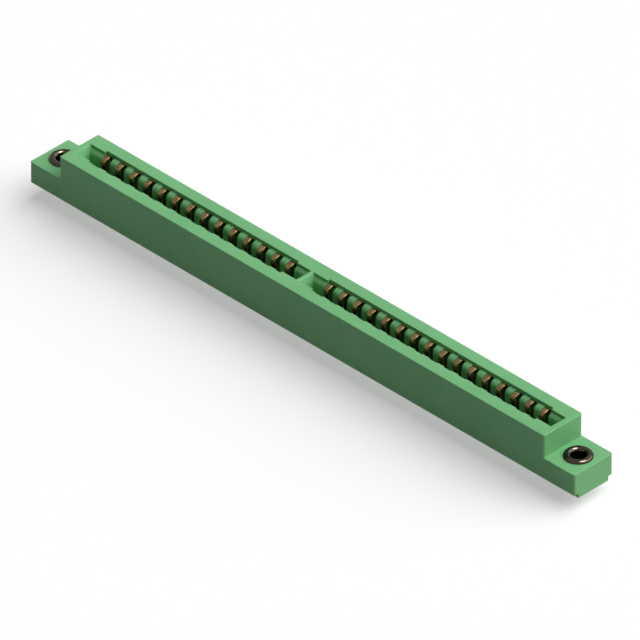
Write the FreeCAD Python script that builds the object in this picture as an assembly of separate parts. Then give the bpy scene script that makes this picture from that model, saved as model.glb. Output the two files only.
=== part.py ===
"""Card edge connector with a two-section slot, a contact pair at each position and a bushing in each ear.

The connector lies along X. Y is across it, Z is up, and z = 0 is the plane of the solder tail tips.
The origin is below the middle of the body. Sizes are in millimetres.
"""
import FreeCAD, Part
import math
import os

Vector = FreeCAD.Vector

# positions along the slot
pitch = 3.962
left_count = 14
right_count = 16
section_gap = 10.764
end_margin = 5.05
end_wall = 1.35
bridge_thickness = 0.8

# housing outside
body_width = 10.8
ear_length = 8.35
ear_height = 4.92
block_rise = 5.33
standoff_height = 1.08
standoff_inset = 1.2

# slot, seen across the body
slot_depth = 8.4
mouth_width = 5.3
pocket_width = 4.1
card_gap = 2.2
shoulder_drop = 0.7
shoulder_radius = 1.15
shoulder_facets = 4
cavity_width = 2.3

# contacts
row_spacing = 3.56
front_row_drop = 1.15
strip_width = 1.1
strip_thickness = 0.3
contact_offset = 0.25
rear_play = 0.05
rear_corner_drop = 0.3
rear_fold_radius = 0.6
front_corner_drop = 0.95
front_fold_radius = 0.9
foot_height = 0.6
free_leg_drop = 4.65
free_end_run = 1.0
free_end_drop = 1.7
tail_width = 0.9
tail_play = 0.05
tail_length = 2.4
tail_point = 0.5

# mounting bushings
bushing_bore = 3.0
bushing_barrel = 4.2
bushing_flange = 6.1
bushing_flange_height = 0.6
bushing_rim_edge = 0.28
bushing_mouth_edge = 0.5
bushing_play = 0.05
bushing_foot = 5.6
bushing_foot_height = 0.5
bushing_foot_cover = 0.3
counterbore_play = 0.3

# how far a cut runs past the face that it opens
overshoot = 1.0

# levels
z_standoff = tail_length
z_base = z_standoff + standoff_height
z_ear = z_base + ear_height
z_top = z_ear + block_rise
z_floor = z_top - slot_depth

# places along X
contact_span = (left_count - 1 + right_count - 1) * pitch + section_gap
slot_half = contact_span / 2 + end_margin
block_half = slot_half + end_wall
body_half = block_half + ear_length
bushing_x = block_half + ear_length / 2
first_left_x = -contact_span / 2
first_right_x = first_left_x + (left_count - 1) * pitch + section_gap
bridge_x = first_right_x - section_gap / 2


def position_centres():
    """X of every contact position, from left to right."""
    left = [first_left_x + k * pitch for k in range(left_count)]
    right = [first_right_x + k * pitch for k in range(right_count)]
    return left, right


def box(x0, x1, y0, y1, z0, z1):
    return Part.makeBox(x1 - x0, y1 - y0, z1 - z0, Vector(x0, y0, z0))


def line(a, b):
    return Part.LineSegment(a, b).toShape()


def prism_x(edges, x0, x1):
    """A closed outline drawn in the YZ plane, carried along X from x0 to x1."""
    face = Part.Face(Part.Wire(edges))
    face.translate(Vector(x0, 0, 0))
    return face.extrude(Vector(x1 - x0, 0, 0))


def polygon_yz(points):
    corners = [Vector(0, y, z) for y, z in points]
    return [line(a, b) for a, b in zip(corners, corners[1:] + corners[:1])]


def housing_outside():
    """Block, ears and the narrower standoff rail under them, without any opening."""
    half = body_width / 2
    base = box(-body_half, body_half, -half, half, z_base, z_ear)
    block = box(-block_half, block_half, -half, half, z_base, z_top)
    foot = half - standoff_inset
    rail = box(-body_half, body_half, -foot, foot, z_standoff, z_base)
    return base.fuse([block, rail]).removeSplitter()


def slot_outline(opening):
    """Cross-section of the slot: an opening that wide down to two faceted shoulders, and the card gap between them."""
    mouth = opening / 2
    face = card_gap / 2
    middle = z_top - shoulder_drop - shoulder_radius
    half = [(mouth, z_top + overshoot)]
    for k in range(shoulder_facets + 1):
        angle = math.pi / 2 * (1 + k / shoulder_facets)
        y = face + shoulder_radius * (1 + math.cos(angle))
        half.append((min(y, mouth), middle + shoulder_radius * math.sin(angle)))
    if mouth > half[1][0]:
        half.insert(1, (mouth, half[1][1]))
    half.append((face, z_floor))
    return polygon_yz(half + [(-y, z) for y, z in reversed(half)])


def section_cuts(centres):
    """The wide mouth, the contact cavities and the tail holes of one run of contact positions."""
    start = centres[0] - cavity_width / 2
    end = centres[-1] + cavity_width / 2
    cuts = [prism_x(slot_outline(mouth_width), start, end)]
    inner = row_spacing / 2 - strip_thickness / 2 - tail_play
    outer = row_spacing / 2 + strip_thickness / 2 + tail_play
    low = z_standoff - overshoot
    for x in centres:
        half = cavity_width / 2
        cuts.append(box(x - half, x + half, -mouth_width / 2, mouth_width / 2, z_floor, z_top - shoulder_drop))
        half = tail_width / 2 + tail_play
        cuts.append(box(x - half, x + half, inner, outer, low, z_floor))
        cuts.append(box(x - half, x + half, -outer, -inner, low, z_floor))
    return cuts


def bushing_seat(x):
    """Bore through an ear, with the counterbore that hides the bushing's foot."""
    bore = Part.makeCylinder(bushing_barrel / 2 + bushing_play, z_top, Vector(x, 0, 0))
    depth = bushing_foot_height + bushing_foot_cover
    recess = Part.makeCylinder(bushing_foot / 2 + counterbore_play, depth + overshoot,
                               Vector(x, 0, z_standoff - overshoot))
    return [bore, recess]


def housing():
    left, right = position_centres()
    cuts = section_cuts(left) + section_cuts(right)
    left_pocket_end = bridge_x - bridge_thickness / 2
    right_pocket_start = bridge_x + bridge_thickness / 2
    cuts.append(prism_x(slot_outline(pocket_width), -slot_half, left_pocket_end))
    cuts.append(prism_x(slot_outline(pocket_width), right_pocket_start, slot_half))
    for x in (-bushing_x, bushing_x):
        cuts += bushing_seat(x)
    return housing_outside().cut(cuts).removeSplitter()


def strip_outline(path, thickness):
    """Outline of a strip of even thickness folded along a path of straight runs, with mitred corners."""
    sides = {1: [], -1: []}
    for i, corner in enumerate(path):
        before = (corner - path[i - 1]).normalize() if i > 0 else None
        after = (path[i + 1] - corner).normalize() if i < len(path) - 1 else None
        before = before or after
        after = after or before
        along = (before + after).normalize()
        across = Vector(0, -along.z, along.y)
        reach = thickness / 2 / math.cos(before.getAngle(after) / 2)
        for side in sides:
            sides[side].append(corner + across * (side * reach))
    corners = sides[1] + sides[-1][::-1]
    return [line(p, q) for p, q in zip(corners, corners[1:] + corners[:1])]


def folded_corner(before, corner, after, radius):
    """Two folds in place of a corner, with their runs touching an arc of that radius."""
    arriving = (corner - before).normalize()
    leaving = (after - corner).normalize()
    turn = arriving.getAngle(leaving)
    cut = radius * (math.tan(turn / 2) - math.tan(turn / 4))
    return [corner - arriving * cut, corner + leaving * cut]


def contact_path(row_drop):
    """Middle line of a contact, from the tail tip up the rear leg, over the top and down the free leg.

    The row drop is how far its two upper corners and its bend lie below those of the back row.
    """
    tail_y = row_spacing / 2
    top = z_top - row_drop
    front = contact_offset + strip_thickness / 2
    rear = mouth_width / 2 - rear_play - strip_thickness / 2
    foot = Vector(0, tail_y, z_floor + foot_height)
    rear_corner = Vector(0, rear, top - rear_corner_drop)
    front_corner = Vector(0, front, top - front_corner_drop)
    bend = Vector(0, front, top - free_leg_drop)
    free_end = bend + Vector(0, free_end_run, -free_end_drop)
    rear_folds = folded_corner(foot, rear_corner, front_corner, rear_fold_radius)
    front_folds = folded_corner(rear_corner, front_corner, bend, front_fold_radius)
    return [Vector(0, tail_y, 0), foot] + rear_folds + front_folds + [bend, free_end]


def contact(row_drop):
    """A contact at x = 0: the folded strip, narrowed and pointed below the housing floor."""
    half = strip_width / 2
    strip = prism_x(strip_outline(contact_path(row_drop), strip_thickness), -half, half)
    tail = tail_width / 2
    tip = tail - tail_point / 2
    depth = mouth_width
    for side in (1, -1):
        beyond = half + overshoot
        points = [(tail, z_floor), (tail, tail_point), (tip, 0), (beyond, 0), (beyond, z_floor)]
        corners = [Vector(side * x, 0, z) for x, z in points]
        face = Part.Face(Part.makePolygon(corners + corners[:1]))
        strip = strip.cut(face.extrude(Vector(0, depth, 0)))
    return strip.removeSplitter()


def bushing():
    """Flanged eyelet turned about Z: a flange on the ear, a barrel through it and a foot in the counterbore."""
    bore = bushing_bore / 2
    barrel = bushing_barrel / 2
    rim = bushing_flange / 2
    foot = bushing_foot / 2
    top = z_ear + bushing_flange_height
    foot_low = z_standoff + bushing_foot_cover
    foot_top = foot_low + bushing_foot_height
    corners = [(bore, foot_low), (foot, foot_low), (foot, foot_top), (barrel, foot_top), (barrel, z_ear),
               (rim, z_ear), (rim, top - bushing_rim_edge), (rim - bushing_rim_edge, top),
               (bore + bushing_mouth_edge, top), (bore, top - bushing_mouth_edge)]
    points = [Vector(r, 0, z) for r, z in corners]
    section = Part.Face(Part.makePolygon(points + points[:1]))
    return section.revolve(Vector(0, 0, 0), Vector(0, 0, 1), 360)


def moved(shape, x):
    copy = shape.copy()
    copy.translate(Vector(x, 0, 0))
    return copy


def main():
    os.makedirs("parts", exist_ok=True)
    housing().exportStep("parts/housing.step")
    back = contact(0)
    front = contact(front_row_drop).mirror(Vector(0, 0, 0), Vector(0, 1, 0))
    left, right = position_centres()
    for number, x in enumerate(left + right, start=1):
        pair = Part.makeCompound([moved(back, x), moved(front, x)])
        pair.exportStep(f"parts/contact_pair_{number:02d}.step")
    eyelet = bushing()
    moved(eyelet, -bushing_x).exportStep("parts/mounting_bushing_left.step")
    moved(eyelet, bushing_x).exportStep("parts/mounting_bushing_right.step")


main()
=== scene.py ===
"""Looks of a two-section card edge connector: housing, folded contact springs and mounting eyelets.

Lengths are in metres. X runs along the connector, Y across it and Z up, and the tail tips lie at
z = 0.
"""
import math

import bmesh
import bpy
import numpy as np
from bpy.props import FloatProperty, FloatVectorProperty, PointerProperty
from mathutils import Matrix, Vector


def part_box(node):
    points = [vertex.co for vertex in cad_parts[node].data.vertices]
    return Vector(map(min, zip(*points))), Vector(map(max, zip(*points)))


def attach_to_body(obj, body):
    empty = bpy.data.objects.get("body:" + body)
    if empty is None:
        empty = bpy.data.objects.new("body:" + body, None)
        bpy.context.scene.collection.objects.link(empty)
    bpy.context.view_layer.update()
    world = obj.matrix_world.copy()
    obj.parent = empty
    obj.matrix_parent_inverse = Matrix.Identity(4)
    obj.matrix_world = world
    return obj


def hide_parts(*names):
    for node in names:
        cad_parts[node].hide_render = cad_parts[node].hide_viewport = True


bl_info = {
    "name": "Card Edge Connector",
    "version": (1, 0, 0),
    "blender": (4, 5, 0),
    "location": "View3D > Sidebar > Connector",
    "description": "Dresses the packed card edge connector and sets up its studio",
    "category": "Object",
}

MM = 0.001
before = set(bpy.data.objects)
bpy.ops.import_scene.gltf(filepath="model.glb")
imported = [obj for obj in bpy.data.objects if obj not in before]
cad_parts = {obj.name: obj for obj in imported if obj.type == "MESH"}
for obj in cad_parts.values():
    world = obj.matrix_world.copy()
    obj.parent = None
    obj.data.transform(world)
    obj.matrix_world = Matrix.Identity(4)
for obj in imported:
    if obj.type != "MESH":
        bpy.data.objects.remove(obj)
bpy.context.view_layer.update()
CONTACT_NODES = sorted(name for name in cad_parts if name.startswith("contact_pair_"))
BUSHING_NODES = sorted(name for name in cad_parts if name.startswith("mounting_bushing_"))
HOUSING_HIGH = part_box("housing")[1]
CONTACT_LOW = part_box(CONTACT_NODES[0])[0]
BUSHING_LOW, BUSHING_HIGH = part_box(BUSHING_NODES[0])

# fineness of the new pieces
ARC_STEP = math.radians(9)  # the most that one straight piece of an arc turns
STRIP_CORNER_STEPS = 2  # straight pieces in each rounded corner of a spring's cross-section
BUSHING_SIDES = 96  # straight pieces round an eyelet
BEVEL_SEGMENTS = 3  # straight pieces across each rounded edge of the housing
SHADING_ANGLE = math.radians(35)  # edges of the new pieces that turn more are shaded sharp

TAIL_RINGS = 4  # rings of a spring from its tip up to its shoulders

# how the housing's copy is cleaned, and which of its edges and faces are meant
WELD = 0.0005 * MM  # corners closer than this are joined
FLAT_ANGLE = math.radians(1.0)  # faces that turn less than this are joined
EDGE_ANGLE = math.radians(30)  # edges that turn more than this are rounded
LEVEL = 0.01 * MM  # coordinates closer than this count as equal
OUTER_BAND = 1.3 * MM  # edges this near the housing's sides are outside it, also on its rail
END_BAND = 0.5 * MM  # edges this near the housing's ends are outside it
SLOT_SPAN = 3.0 * MM  # an edge right across the slot or the block is longer than this
LOWEST_SOFT_EDGE = 6.0 * MM  # edges inside the housing below this height stay sharp
ACROSS_NORMAL = 0.99  # the least X, either way, of the normal of a wall that lies across
LEAST_HALF_SLOT = 1.0 * MM  # bounds of half the width of the walls at the ends of the slot
MOST_HALF_SLOT = 2.2 * MM
TURN_PLAY = 0.02 * MM  # how far a corner may lie from the depth of the lead-in


def length(name, description, default):
    """A length property in metres whose default is given in millimetres."""
    return FloatProperty(name=name, description=description, default=default * MM, min=0.0,
                         subtype="DISTANCE", unit="LENGTH", precision=5)


def colour(name, description, default):
    """A linear colour property."""
    return FloatVectorProperty(name=name, description=description, default=default, size=3,
                               min=0.0, max=1.0, subtype="COLOR")


def share(name, description, default):
    """A property from 0 to 1."""
    return FloatProperty(name=name, description=description, default=default, min=0.0, max=1.0,
                         subtype="FACTOR")


def amount(name, description, default):
    """A property from 0 up."""
    return FloatProperty(name=name, description=description, default=default, min=0.0)


def angle(name, description, default):
    """An angle property in radians."""
    return FloatProperty(name=name, description=description, default=default, subtype="ANGLE",
                         unit="ROTATION")


def heading(name, description, default):
    """A direction property, from the object to a place far away."""
    return FloatVectorProperty(name=name, description=description, default=default, size=3,
                               subtype="DIRECTION")


class HousingSettings(bpy.types.PropertyGroup):
    """Sizes and colours of the moulded housing."""
    corner: length("Corner", "Radius of the upright corners", 0.55)
    outer_edge: length("Outer edge", "Radius of the other edges outside the housing", 0.14)
    slot_edge: length("Slot edge", "Radius of the edges in and around the card slot", 0.07)
    slot_end_edge: length(
        "Slot end edge", "Radius of the upper edges across the ends of slot and block", 0.18)
    lead_in: length("Lead-in", "How far the ends of the slot lean in below the mouth", 0.8)
    lead_in_depth: length(
        "Lead-in depth", "Depth at which they turn upright, where their walls have corners", 1.85)
    light_green: colour(
        "Light green", "Colour of the plastic where it is palest", (0.173, 0.462, 0.196))
    deep_green: colour(
        "Deep green", "Colour of the plastic where it is deepest", (0.153, 0.428, 0.177))
    grain: length("Grain", "Size of the moulded surface grain", 0.12)
    grain_height: length("Grain height", "Height of the moulded surface grain", 0.006)


class ContactSettings(bpy.types.PropertyGroup):
    """Sizes and colours of the contact springs."""
    strip_width: length(
        "Strip width", "Width of the spring above the floor of its cavity", 1.1)
    strip_thickness: length("Strip thickness", "Thickness of the spring strip", 0.3)
    strip_edge: length("Strip edge", "Radius of the long edges of the strip", 0.08)
    contact_gap: length("Contact gap", "Gap between the two springs of a pair", 0.5)
    row_spacing: length("Row spacing", "Distance between the two rows of tails", 3.56)
    floor_height: length(
        "Floor height", "Height of the cavity floor, where the strip narrows", 5.33)
    foot_height: length("Foot height", "Height of the fold above the cavity floor", 0.6)
    rear_reach: length(
        "Rear reach", "Distance of the rear upper corner from the slot's middle", 2.45)
    rear_drop: length("Rear drop", "Depth of the rear upper corner below the mouth", 0.3)
    front_drop: length("Front drop", "Depth of the front upper corner below the mouth", 0.95)
    free_leg_drop: length("Free leg drop", "Depth at which the free leg bends away", 4.65)
    free_end_run: length("Free end run", "How far the free end leans back", 1.0)
    free_end_drop: length("Free end drop", "How far the free end reaches down", 1.7)
    front_row_drop: length(
        "Front row drop", "How much lower the upper folds of the front row lie", 1.15)
    rear_radius: length(
        "Rear radius", "Radius of the rear upper fold, at the middle of the strip", 0.6)
    front_radius: length(
        "Front radius", "Radius of the front upper fold, at the middle of the strip", 0.9)
    fold_radius: length("Fold radius", "Radius of the two lower folds", 1.2)
    tail_width: length("Tail width", "Width of the solder tail", 0.9)
    tail_point: length("Tail point", "Length of the pointed tip of the tail", 0.5)
    gold: colour("Gold", "Colour of the plated spring", (0.19, 0.135, 0.06))
    worn_gold: colour("Worn gold", "Colour of the plating where it is thin", (0.12, 0.08, 0.033))
    tin: colour("Tin", "Colour of the plated tails", (0.62, 0.60, 0.56))


class BushingSettings(bpy.types.PropertyGroup):
    """Sizes and colours of the mounting eyelets."""
    bore: length("Bore", "Diameter of the bore", 3.0)
    barrel: length("Barrel", "Diameter of the barrel", 4.2)
    flange_height: length("Flange height", "Height of the flange above the ear", 0.6)
    foot: length("Foot", "Diameter of the foot", 5.6)
    foot_height: length("Foot height", "Height of the foot", 0.5)
    rim_radius: length("Rim radius", "Radius of the outer rim of the flange", 0.56)
    mouth_radius: length("Mouth radius", "Radius of the rolled mouth of the bore", 0.75)
    small_radius: length("Small radius", "Radius of the other edges", 0.12)
    metal: colour("Metal", "Colour of the polished metal", (0.055, 0.047, 0.033))
    dark_metal: colour("Dark metal", "Colour in the turning marks", (0.036, 0.028, 0.018))


class StageSettings(bpy.types.PropertyGroup):
    """Camera, floor and light."""
    azimuth: angle("Azimuth", "Camera azimuth from -Y towards +X", math.radians(45))
    elevation: angle("Elevation", "Camera height above the horizon", math.atan(math.sqrt(0.5)))
    frame_width: length("Frame width", "Width of the view across the object", 125.6)
    drop: length("Drop", "How far the view's middle lies below that of the top face", 7.06)
    shift_right: length(
        "Shift right", "How far the view's middle lies right of that of the top face", 0.15)
    lens: FloatProperty(name="Lens", description="Focal length in millimetres", default=1600.0,
                        min=1.0)
    key_direction: heading("Key direction", "Where the key light comes from", (0.54, 0.7, 1.0))
    key_strength: amount("Key strength", "Strength of the key light", 3.72)
    key_angle: angle("Key angle", "Angular size of the key light", math.radians(80))
    fill: amount("Fill", "Strength of the sky on its bright side", 0.16)
    dim: amount("Dim", "Strength of the sky on its dark side", 0.04)
    dark_direction: heading("Dark direction", "Where the sky is darkest", (-1.0, 1.0, 1.2))
    glint_direction: heading(
        "Glint direction", "Where the small lamp shines from", (0.24, 0.2, 0.95))
    glint_strength: amount("Glint strength", "Strength of the small lamp", 6.5)
    glint_angle: angle("Glint angle", "Angular size of the small lamp", math.radians(26))
    floor_size: length("Floor size", "Side of the floor", 3000.0)
    floor_grey: share("Floor grey", "How much light the floor sends back to the object", 0.42)
    floor_white: share("Floor white", "How much of the light on the floor the camera sees", 0.62)
    floor_lift: share(
        "Floor lift", "How much of the floor's white doesn't depend on the light", 0.41)


def set_socket(tree, socket, value):
    """Links a socket from another one, or sets its value."""
    if isinstance(value, bpy.types.NodeSocket):
        tree.links.new(value, socket)
    else:
        socket.default_value = value


def add_node(tree, kind, sockets=None, **options):
    """A new node with its options set, and its sockets, by name or number, set or linked."""
    made = tree.nodes.new(kind)
    for name, value in options.items():
        setattr(made, name, value)
    for name, value in (sockets or {}).items():
        set_socket(tree, made.inputs[name], value)
    return made


def new_material(name, metallic, shine):
    """A node material: (material, tree, Principled shader, Object coordinates)."""
    material = bpy.data.materials.new(name)
    material.use_nodes = True
    tree = material.node_tree
    shader = tree.nodes["Principled BSDF"]
    shader.inputs["Metallic"].default_value = metallic
    shader.inputs["Specular IOR Level"].default_value = shine
    place = tree.nodes.new("ShaderNodeTexCoord").outputs["Object"]
    return material, tree, shader, place


def dress_shader(tree, shader, base, roughness, normal):
    """Links what varies over a surface to its shader."""
    set_socket(tree, shader.inputs["Base Color"], base)
    set_socket(tree, shader.inputs["Roughness"], roughness)
    set_socket(tree, shader.inputs["Normal"], normal)


def speckle(tree, place, size, detail):
    """Noise with features of about that size, from 0 to 1."""
    node = add_node(tree, "ShaderNodeTexNoise",
                    {"Vector": place, "Scale": 1 / size, "Detail": detail})
    return node.outputs["Fac"]


def blend_colours(tree, factor, low, high, start=0.35, end=0.65):
    """A colour between two, as the factor goes from start to end."""
    ramp = add_node(tree, "ShaderNodeValToRGB", {"Fac": factor})
    for element, place, rgb in zip(ramp.color_ramp.elements, (start, end), (low, high)):
        element.position = place
        element.color = (*rgb, 1.0)
    return ramp.outputs["Color"]


def between(tree, factor, low, high, start=0.3, end=0.7):
    """A number between low and high, as the factor goes from start to end."""
    node = add_node(tree, "ShaderNodeMapRange", {"Value": factor, "From Min": start,
                                                 "From Max": end, "To Min": low, "To Max": high})
    return node.outputs["Result"]


def bump(tree, height, distance, strength=1.0):
    """A normal from a height between 0 and 1 that stands for that distance."""
    node = add_node(tree, "ShaderNodeBump",
                    {"Height": height, "Distance": distance, "Strength": strength})
    return node.outputs["Normal"]


def mix_colours(tree, factor, first, second):
    """The first colour where the factor is 0 and the second where it is 1."""
    # the Mix node's colour sockets share their names with others, so they go by number
    node = add_node(tree, "ShaderNodeMix", {0: factor, 6: first, 7: second}, data_type="RGBA")
    return node.outputs[2]


def mix_shaders(tree, factor, first, second):
    """The first shader where the factor is 0 and the second where it is 1."""
    return add_node(tree, "ShaderNodeMixShader", {0: factor, 1: first, 2: second}).outputs[0]


def either(tree, first, second):
    """The greater of two numbers, which is 1 where either is 1."""
    return add_node(tree, "ShaderNodeMath", {0: first, 1: second}, operation="MAXIMUM").outputs[0]


def housing_material(sizes):
    """Moulded green plastic: faint mottling, a fine grain and a soft sheen."""
    material, tree, shader, place = new_material("moulded_green_plastic", metallic=0.0, shine=0.2)
    mottle = speckle(tree, place, size=9 * MM, detail=3.0)
    grain = speckle(tree, place, sizes.grain, detail=3.0)
    dress_shader(tree, shader,
                 base=blend_colours(tree, mottle, sizes.deep_green, sizes.light_green),
                 roughness=between(tree, grain, low=0.3, high=0.42),
                 normal=bump(tree, grain, sizes.grain_height))
    return material


def contact_material(sizes):
    """Gold plating with fine rolling marks along the strip, and tin on the tails below it."""
    material, tree, shader, place = new_material("plated_spring", metallic=1.0, shine=0.5)
    drawn_out = add_node(tree, "ShaderNodeMapping", {"Vector": place, "Scale": (1.0, 1.0, 0.06)})
    marks = speckle(tree, drawn_out.outputs["Vector"], size=0.06 * MM, detail=3.0)
    patches = speckle(tree, place, size=0.8 * MM, detail=2.0)
    gold = blend_colours(tree, patches, sizes.worn_gold, sizes.gold)
    height = add_node(tree, "ShaderNodeSeparateXYZ", {"Vector": place}).outputs["Z"]
    tin_end = sizes.floor_height - 0.3 * MM
    gold_start = tin_end + 0.5 * MM
    above = between(tree, height, low=0.0, high=1.0, start=tin_end, end=gold_start)
    dress_shader(tree, shader,
                 base=mix_colours(tree, above, (*sizes.tin, 1.0), gold),
                 roughness=between(tree, marks, low=0.2, high=0.28),
                 normal=bump(tree, marks, distance=0.0015 * MM))
    return material


def bushing_material(name, centre_x, sizes):
    """Dark polished metal with fine turning marks around the bore."""
    material, tree, shader, place = new_material(f"{name}_metal", metallic=1.0, shine=0.5)
    centred = add_node(tree, "ShaderNodeMapping",
                       {"Vector": place, "Location": (-centre_x, 0.0, 0.0)}).outputs["Vector"]
    mark_size = 0.55 * MM
    marks = add_node(tree, "ShaderNodeTexWave",
                     {"Vector": centred, "Scale": 1 / mark_size, "Distortion": 0.6,
                      "Detail": 2.0, "Detail Scale": 1.5},
                     wave_type="RINGS", rings_direction="Z").outputs["Fac"]
    dress_shader(tree, shader,
                 base=blend_colours(tree, marks, sizes.dark_metal, sizes.metal, start=0.0, end=0.6),
                 roughness=between(tree, marks, low=0.12, high=0.08, start=0.0, end=1.0),
                 normal=bump(tree, marks, distance=0.002 * MM, strength=0.5))
    return material


def rounded_path(corners, radii):
    """Points along straight runs joined by tangent arcs.

    At a corner with radius r and turn a, the arc starts r * tan(a / 2) before the corner and ends
    as far after it, round a centre on the inner side. Its points are the centre plus the start's
    offset turned by equal steps of a.
    """
    corners = np.asarray(corners, float)
    points = [corners[:1]]
    for before, corner, after, r in zip(corners, corners[1:], corners[2:], radii):
        arriving = (corner - before) / np.linalg.norm(corner - before)
        leaving = (after - corner) / np.linalg.norm(after - corner)
        turn = math.atan2(arriving[0] * leaving[1] - arriving[1] * leaving[0], arriving @ leaving)
        start = corner - arriving * r * math.tan(abs(turn) / 2)
        inward = math.copysign(1.0, turn) * np.array([-arriving[1], arriving[0]])
        angles = np.linspace(0.0, turn, max(2, math.ceil(abs(turn) / ARC_STEP)) + 1)
        cos, sin = np.cos(angles)[:, None], np.sin(angles)[:, None]
        offset = -inward * r
        turned = offset * cos + np.array([-offset[1], offset[0]]) * sin
        points.append(start + inward * r + turned)
    points.append(corners[-1:])
    return np.concatenate(points)


def rounded_section(r, corner_steps):
    """Corners of a rounded rectangle: (signs of the corner, offset inside it), two arrays of pairs.

    A point lies at sign * (half size - r) + r * (cos, sin) of an angle that grows through all four
    corners.
    """
    corner_signs = [(1, 1), (-1, 1), (-1, -1), (1, -1)]
    signs = np.repeat(corner_signs, corner_steps + 1, axis=0).astype(float)
    quarter = np.linspace(0, math.pi / 2, corner_steps + 1)
    angles = np.concatenate([quarter + k * math.pi / 2 for k in range(len(corner_signs))])
    return signs, r * np.column_stack([np.cos(angles), np.sin(angles)])


def grid_faces(rings, around, closed_rings=False):
    """Quads between neighbouring rings of points, each ring closed.

    Quad (i, j) joins points j and j + 1 of ring i to those of ring i + 1. If asked, the last ring
    also meets the first.
    """
    ring = np.arange(rings if closed_rings else rings - 1)[:, None]
    point = np.arange(around)[None, :]
    following = (ring + 1) % rings
    beside = (point + 1) % around
    corners = [ring * around + point, ring * around + beside, following * around + beside,
               following * around + point]
    return np.stack(np.broadcast_arrays(*corners), axis=-1).reshape(-1, 4)


def make_piece(name, vertices, faces, material):
    """A smooth-shaded mesh object with its place in its mesh."""
    mesh = bpy.data.meshes.new(name)
    mesh.from_pydata(vertices.tolist(), [], [list(map(int, face)) for face in faces])
    mesh.update()
    mesh.materials.append(material)
    mesh.shade_smooth()
    mesh.set_sharp_from_angle(angle=SHADING_ANGLE)
    piece = bpy.data.objects.new(name, mesh)
    bpy.context.scene.collection.objects.link(piece)
    return piece


def even_normals(piece):
    """Lets the large faces set the shading at their rounded edges."""
    even = piece.modifiers.new("even faces", "WEIGHTED_NORMAL")
    even.keep_sharp = True


def attach(piece, node):
    """The piece rides on the fixed body in place of its node, which is hidden."""
    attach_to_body(piece, "root")
    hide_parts(node)


def spring_line(sizes, drop):
    """Middle line of a spring in the YZ plane, from the tail tip to the free end.

    The drop is how far its upper folds lie below those of the back row.
    """
    front = (sizes.contact_gap + sizes.strip_thickness) / 2
    tail_y = sizes.row_spacing / 2
    top = HOUSING_HIGH.z - drop
    bend = top - sizes.free_leg_drop
    corners = [
        (tail_y, CONTACT_LOW.z),
        (tail_y, sizes.floor_height + sizes.foot_height),
        (sizes.rear_reach, top - sizes.rear_drop),
        (front, top - sizes.front_drop),
        (front, bend),
        (front + sizes.free_end_run, bend - sizes.free_end_drop),
    ]
    radii = [sizes.fold_radius, sizes.rear_radius, sizes.front_radius, sizes.fold_radius]
    return rounded_path(corners, radii)


def spring_rings(sizes, drop):
    """Middle line and half width at each ring of a spring: pointed tail, shoulders and strip."""
    line = spring_line(sizes, drop)
    tail_y = line[0, 0]
    tail = sizes.tail_width / 2
    strip = sizes.strip_width / 2
    heights = [0.0, sizes.tail_point, sizes.floor_height, sizes.floor_height]
    lower = np.column_stack([np.full(TAIL_RINGS, tail_y), heights])
    lower_half = np.array([tail - sizes.tail_point / 2, tail, tail, strip])
    rings = np.concatenate([lower, line[1:]])
    half_widths = np.concatenate([lower_half, np.full(len(line) - 1, strip)])
    return rings, half_widths


def spring_grid(x, side, sizes):
    """One spring: a rounded rectangle carried along the middle line.

    Ring i has its points at x + u and at the middle line's point plus v times its normal, where
    (u, v) runs round the rounded rectangle of that ring's half width and half the strip's
    thickness. The front spring, whose side is -1, has -y for y.
    """
    rings, half_widths = spring_rings(sizes, sizes.front_row_drop if side < 0 else 0.0)
    ahead = np.gradient(rings, axis=0)
    ahead[:TAIL_RINGS] = (0.0, 1.0)
    ahead /= np.linalg.norm(ahead, axis=1)[:, None]
    normals = np.column_stack([ahead[:, 1], -ahead[:, 0]])
    signs, offsets = rounded_section(sizes.strip_edge, STRIP_CORNER_STEPS)
    u = signs[:, 0] * (half_widths[:, None] - sizes.strip_edge) + offsets[:, 0]
    v = signs[:, 1] * (sizes.strip_thickness / 2 - sizes.strip_edge) + offsets[:, 1]
    v = np.broadcast_to(v, u.shape)
    y = rings[:, :1] + v * normals[:, :1]
    z = rings[:, 1:] + v * normals[:, 1:]
    vertices = np.stack([x + u, side * y, z], axis=-1).reshape(-1, 3)
    around = len(signs)
    faces = grid_faces(len(rings), around).tolist()
    last = (len(rings) - 1) * around
    faces += [list(range(around))[::-1], list(range(last, last + around))]
    if side < 0:
        faces = [face[::-1] for face in faces]
    return vertices, faces


def make_contact_pair(node, material, sizes):
    """The back and front springs of one position, in one piece."""
    low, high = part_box(node)
    centre_x = (low.x + high.x) / 2
    back, back_faces = spring_grid(centre_x, 1, sizes)
    front, front_faces = spring_grid(centre_x, -1, sizes)
    shifted = [[index + len(back) for index in face] for face in front_faces]
    piece = make_piece(f"{node}_springs", np.concatenate([back, front]), back_faces + shifted,
                       material)
    even_normals(piece)
    attach(piece, node)


def bushing_profile(sizes):
    """Closed outline of the eyelet's wall as (radius, height), from inside the foot round.

    Its corners are joined by straight runs and tangent arcs, as in rounded_path.
    """
    bore = sizes.bore / 2
    barrel = sizes.barrel / 2
    rim = (BUSHING_HIGH.x - BUSHING_LOW.x) / 2
    foot = sizes.foot / 2
    top = BUSHING_HIGH.z
    ear = top - sizes.flange_height
    low = BUSHING_LOW.z
    foot_top = low + sizes.foot_height
    middle = (low + ear) / 2
    corners = [(bore, middle), (bore, low), (foot, low), (foot, foot_top), (barrel, foot_top),
               (barrel, ear), (rim, ear), (rim, top), (bore, top), (bore, middle)]
    small_corners = len(corners) - 4  # all but the two ends, the rim's top and the mouth
    radii = [sizes.small_radius] * small_corners + [sizes.rim_radius, sizes.mouth_radius]
    return rounded_path(corners, radii)[:-1]


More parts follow.
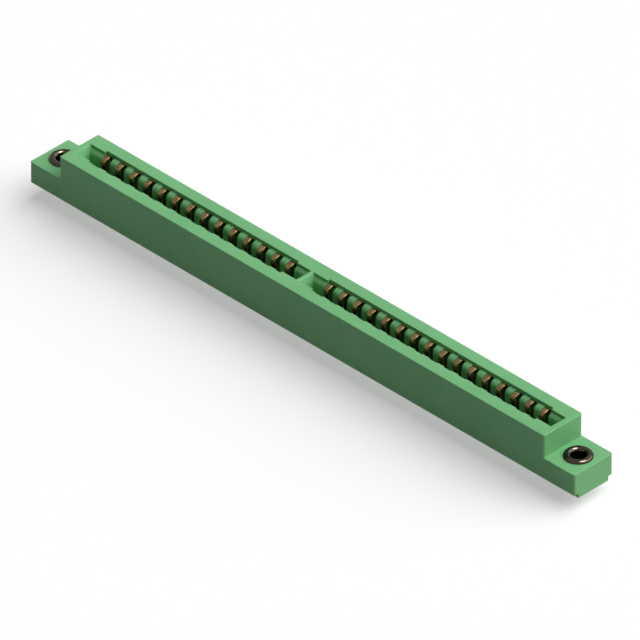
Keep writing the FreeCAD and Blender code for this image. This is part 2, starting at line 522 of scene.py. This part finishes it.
def make_bushing(node, sizes):
    """The eyelet: its wall's outline turned about a vertical axis.

    Point (i, j) lies at (radius_i * cos(angle_j), radius_i * sin(angle_j), height_i) from the axis.
    """
    low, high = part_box(node)
    centre_x = (low.x + high.x) / 2
    profile = bushing_profile(sizes)
    angles = np.linspace(0, 2 * math.pi, BUSHING_SIDES, endpoint=False)
    radius, height = profile[:, :1], profile[:, 1:]
    x = centre_x + radius * np.cos(angles)
    y = radius * np.sin(angles)
    z = np.broadcast_to(height, x.shape)
    vertices = np.stack([x, y, z], axis=-1).reshape(-1, 3)
    faces = grid_faces(len(profile), BUSHING_SIDES, closed_rings=True)[:, ::-1]
    material = bushing_material(node, centre_x, sizes)
    piece = make_piece(f"{node}_eyelet", vertices, faces, material)
    attach(piece, node)


def edge_share(edge, sizes):
    """How much of the corner radius an edge of the housing gets.

    An upright corner gets all of it, and the other edges the share that makes their own radius.
    """
    start, end = edge.verts[0].co, edge.verts[1].co
    middle = (start + end) / 2
    beside = abs(middle.y) > HOUSING_HIGH.y - OUTER_BAND
    beyond = abs(middle.x) > HOUSING_HIGH.x - END_BAND
    if beside or beyond:
        upright = abs(start.x - end.x) + abs(start.y - end.y) < LEVEL
        corner = upright and abs(middle.y) > HOUSING_HIGH.y - LEVEL
        return 1.0 if corner else sizes.outer_edge / sizes.corner
    across = abs(start.x - end.x) + abs(start.z - end.z) < LEVEL
    uppermost = middle.z > HOUSING_HIGH.z - LEVEL
    if across and uppermost and abs(end.y - start.y) > SLOT_SPAN:
        return sizes.slot_end_edge / sizes.corner
    return sizes.slot_edge / sizes.corner if middle.z > LOWEST_SOFT_EDGE else 0.0


def ends_slot(face):
    """Whether a face is an end wall of the card slot or a side of its bridge.

    Such a face lies across the connector, is as wide as the slot and reaches up to its mouth.
    """
    across = [corner.co.y for corner in face.verts]
    height = max(corner.co.z for corner in face.verts)
    wide = min(across) < -LEAST_HALF_SLOT and LEAST_HALF_SLOT < max(across) < MOST_HALF_SLOT
    return abs(face.normal.x) > ACROSS_NORMAL and wide and height > HOUSING_HIGH.z - LEVEL


def lean_slot_ends(shape, sizes):
    """Slopes the end walls of the card slot and both sides of its bridge, to lead the card in.

    A corner at depth d below the mouth moves along X into the slot by
    lead_in * min(d / lead_in_depth, 1). Each wall is then split between its two corners at the
    depth of the lead-in, into a sloped face and an upright one. Without corners there, the split
    raises an error.
    """
    top = HOUSING_HIGH.z
    for wall in [face for face in shape.faces if ends_slot(face)]:
        inwards = math.copysign(sizes.lead_in, wall.normal.x)
        for corner in wall.verts:
            corner.co.x += inwards * min((top - corner.co.z) / sizes.lead_in_depth, 1.0)
        turn = [corner for corner in wall.verts
                if abs(top - corner.co.z - sizes.lead_in_depth) < TURN_PLAY]
        bmesh.utils.face_split(wall, *turn)
    shape.normal_update()


def housing_mesh(sizes):
    """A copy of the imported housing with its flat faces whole, its slot's ends and edge weights."""
    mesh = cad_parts["housing"].data.copy()
    shape = bmesh.new()
    shape.from_mesh(mesh)
    bmesh.ops.remove_doubles(shape, verts=shape.verts, dist=WELD)
    bmesh.ops.dissolve_limit(shape, angle_limit=FLAT_ANGLE, verts=shape.verts, edges=shape.edges)
    lean_slot_ends(shape, sizes)
    weights = shape.edges.layers.float.new("bevel_weight_edge")
    for edge in shape.edges:
        sharp = edge.is_manifold and edge.calc_face_angle() > EDGE_ANGLE
        edge[weights] = edge_share(edge, sizes) if sharp else 0.0
        edge.smooth = not (sharp and edge[weights] == 0.0)
    shape.to_mesh(mesh)
    shape.free()
    mesh.shade_smooth()
    return mesh


def make_housing(sizes):
    """The moulded housing with its edges softened."""
    mesh = housing_mesh(sizes)
    mesh.name = "moulded_housing"
    mesh.materials.clear()
    mesh.materials.append(housing_material(sizes))
    piece = bpy.data.objects.new("moulded_housing", mesh)
    bpy.context.scene.collection.objects.link(piece)
    soft = piece.modifiers.new("soft edges", "BEVEL")
    soft.limit_method = "WEIGHT"
    soft.width = sizes.corner
    soft.segments = BEVEL_SEGMENTS
    soft.use_clamp_overlap = False
    even_normals(piece)
    attach(piece, "housing")


def seen_directly(tree):
    """1 for rays from the camera, reflections and glass, and 0 for the others."""
    path = tree.nodes.new("ShaderNodeLightPath").outputs
    return either(tree, either(tree, path["Is Camera Ray"], path["Is Glossy Ray"]),
                  path["Is Transmission Ray"])


def matt(tree, grey):
    """A plain matt shader of that grey."""
    return add_node(tree, "ShaderNodeBsdfDiffuse", {"Color": (grey, grey, grey, 1.0)}).outputs[0]


def floor_material(sizes):
    """White to the camera and in reflections, grey in the light it returns, clear from below."""
    material = bpy.data.materials.new("white_floor")
    material.use_nodes = True
    tree = material.node_tree
    tree.nodes.clear()
    glow = add_node(tree, "ShaderNodeEmission", {"Strength": sizes.floor_lift}).outputs[0]
    lifted = add_node(tree, "ShaderNodeAddShader", {0: matt(tree, sizes.floor_white), 1: glow})
    shown = mix_shaders(tree, seen_directly(tree), matt(tree, sizes.floor_grey),
                        lifted.outputs[0])
    below = tree.nodes.new("ShaderNodeNewGeometry").outputs["Backfacing"]
    clear = tree.nodes.new("ShaderNodeBsdfTransparent").outputs[0]
    add_node(tree, "ShaderNodeOutputMaterial",
             {"Surface": mix_shaders(tree, below, shown, clear)})
    return material


def make_floor(sizes):
    """A square floor under the tail tips."""
    half = sizes.floor_size / 2
    corners = np.array([(-half, -half, 0.0), (half, -half, 0.0), (half, half, 0.0),
                        (-half, half, 0.0)])
    floor = make_piece("floor", corners, [(0, 1, 2, 3)], floor_material(sizes))


def make_world(sizes):
    """A plain sky: white to the camera and in reflections; its light is dimmer on one side.

    Its strength falls from fill to dim as the cosine of the angle to the dark direction goes from
    start to end.
    """
    world = bpy.data.worlds.new("studio")
    bpy.context.scene.world = world
    world.use_nodes = True
    tree = world.node_tree
    tree.nodes.clear()
    direction = tree.nodes.new("ShaderNodeTexCoord").outputs["Generated"]
    dark = Vector(sizes.dark_direction).normalized()
    cosine = add_node(tree, "ShaderNodeVectorMath", {0: direction, 1: dark},
                      operation="DOT_PRODUCT").outputs["Value"]
    strength = between(tree, cosine, sizes.fill, sizes.dim, start=-0.1, end=0.6)
    sky = add_node(tree, "ShaderNodeBackground", {"Strength": strength}).outputs[0]
    white = add_node(tree, "ShaderNodeBackground", {"Color": (1.0, 1.0, 1.0, 1.0)}).outputs[0]
    shown = mix_shaders(tree, seen_directly(tree), sky, white)
    add_node(tree, "ShaderNodeOutputWorld", {"Surface": shown})


def make_sun(name, source, strength, spread):
    """A lamp of that angular size, far away towards its source."""
    light = bpy.data.lights.new(name, "SUN")
    light.energy = strength
    light.angle = spread
    lamp = bpy.data.objects.new(name, light)
    lamp.rotation_mode = "QUATERNION"
    lamp.rotation_quaternion = Vector(source).to_track_quat("Z", "Y")
    bpy.context.scene.collection.objects.link(lamp)
    return lamp


def make_lights(sizes):
    """A broad key from behind on the right, and a small lamp that only glossy surfaces show."""
    make_sun("key", sizes.key_direction, sizes.key_strength, sizes.key_angle)
    glint = make_sun("glint", sizes.glint_direction, sizes.glint_strength, sizes.glint_angle)
    glint.visible_diffuse = False


def view_direction(sizes):
    """The direction from the object to the camera."""
    level = math.cos(sizes.elevation)
    return Vector((math.sin(sizes.azimuth) * level, -math.cos(sizes.azimuth) * level,
                   math.sin(sizes.elevation)))


def make_camera(sizes):
    """A long lens at the photograph's angle, aimed below the middle of the top face."""
    back = view_direction(sizes)
    turn = back.to_track_quat("Z", "Y")
    right, up = turn @ Vector((1, 0, 0)), turn @ Vector((0, 1, 0))
    data = bpy.data.cameras.new("camera")
    data.lens = sizes.lens
    distance = sizes.frame_width * data.lens / data.sensor_width
    # the clipping range leaves room for the whole floor, from any side
    data.clip_start = distance / 100
    data.clip_end = distance * 10
    camera = bpy.data.objects.new("camera", data)
    target = Vector((0, 0, HOUSING_HIGH.z)) + right * sizes.shift_right - up * sizes.drop
    camera.location = target + back * distance
    camera.rotation_mode = "QUATERNION"
    camera.rotation_quaternion = turn
    bpy.context.scene.collection.objects.link(camera)
    bpy.context.scene.camera = camera


class CONNECTOR_OT_housing(bpy.types.Operator):
    """Dress the moulded housing"""
    bl_idname = "connector.housing"
    bl_label = "Moulded Housing"

    def execute(self, context):
        make_housing(context.scene.connector_housing)
        return {"FINISHED"}


class CONNECTOR_OT_contacts(bpy.types.Operator):
    """Build the folded contact springs of every position"""
    bl_idname = "connector.contacts"
    bl_label = "Contact Springs"

    def execute(self, context):
        sizes = context.scene.connector_contacts
        material = contact_material(sizes)
        for node in CONTACT_NODES:
            make_contact_pair(node, material, sizes)
        return {"FINISHED"}


class CONNECTOR_OT_bushings(bpy.types.Operator):
    """Build the two mounting eyelets"""
    bl_idname = "connector.bushings"
    bl_label = "Mounting Eyelets"

    def execute(self, context):
        for node in BUSHING_NODES:
            make_bushing(node, context.scene.connector_bushings)
        return {"FINISHED"}


class CONNECTOR_OT_stage(bpy.types.Operator):
    """Set up the floor, the light and the camera"""
    bl_idname = "connector.stage"
    bl_label = "Studio"

    def execute(self, context):
        sizes = context.scene.connector_stage
        make_floor(sizes)
        make_world(sizes)
        make_lights(sizes)
        make_camera(sizes)
        context.scene.view_settings.view_transform = "Standard"
        return {"FINISHED"}


class CONNECTOR_PT_panel(bpy.types.Panel):
    """Lists the pieces of the connector with their sizes and colours"""
    bl_label = "Card Edge Connector"
    bl_space_type = "VIEW_3D"
    bl_region_type = "UI"
    bl_category = "Connector"

    def draw(self, context):
        for operator, holder in STEPS:
            box = self.layout.box()
            box.operator(operator)
            settings = getattr(context.scene, holder)
            for name in settings.__annotations__:
                box.prop(settings, name)


STEPS = (
    ("connector.stage", "connector_stage"),
    ("connector.housing", "connector_housing"),
    ("connector.contacts", "connector_contacts"),
    ("connector.bushings", "connector_bushings"),
)
HOLDERS = {
    "connector_stage": StageSettings,
    "connector_housing": HousingSettings,
    "connector_contacts": ContactSettings,
    "connector_bushings": BushingSettings,
}
CLASSES = (*HOLDERS.values(), CONNECTOR_OT_housing, CONNECTOR_OT_contacts, CONNECTOR_OT_bushings,
           CONNECTOR_OT_stage, CONNECTOR_PT_panel)


def register():
    for cls in CLASSES:
        bpy.utils.register_class(cls)
    for name, group in HOLDERS.items():
        setattr(bpy.types.Scene, name, PointerProperty(type=group))


def unregister():
    for name in HOLDERS:
        delattr(bpy.types.Scene, name)
    for cls in reversed(CLASSES):
        bpy.utils.unregister_class(cls)


def main():
    register()
    bpy.ops.connector.stage()
    bpy.ops.connector.housing()
    bpy.ops.connector.contacts()
    bpy.ops.connector.bushings()


if __name__ == "__main__":
    main()
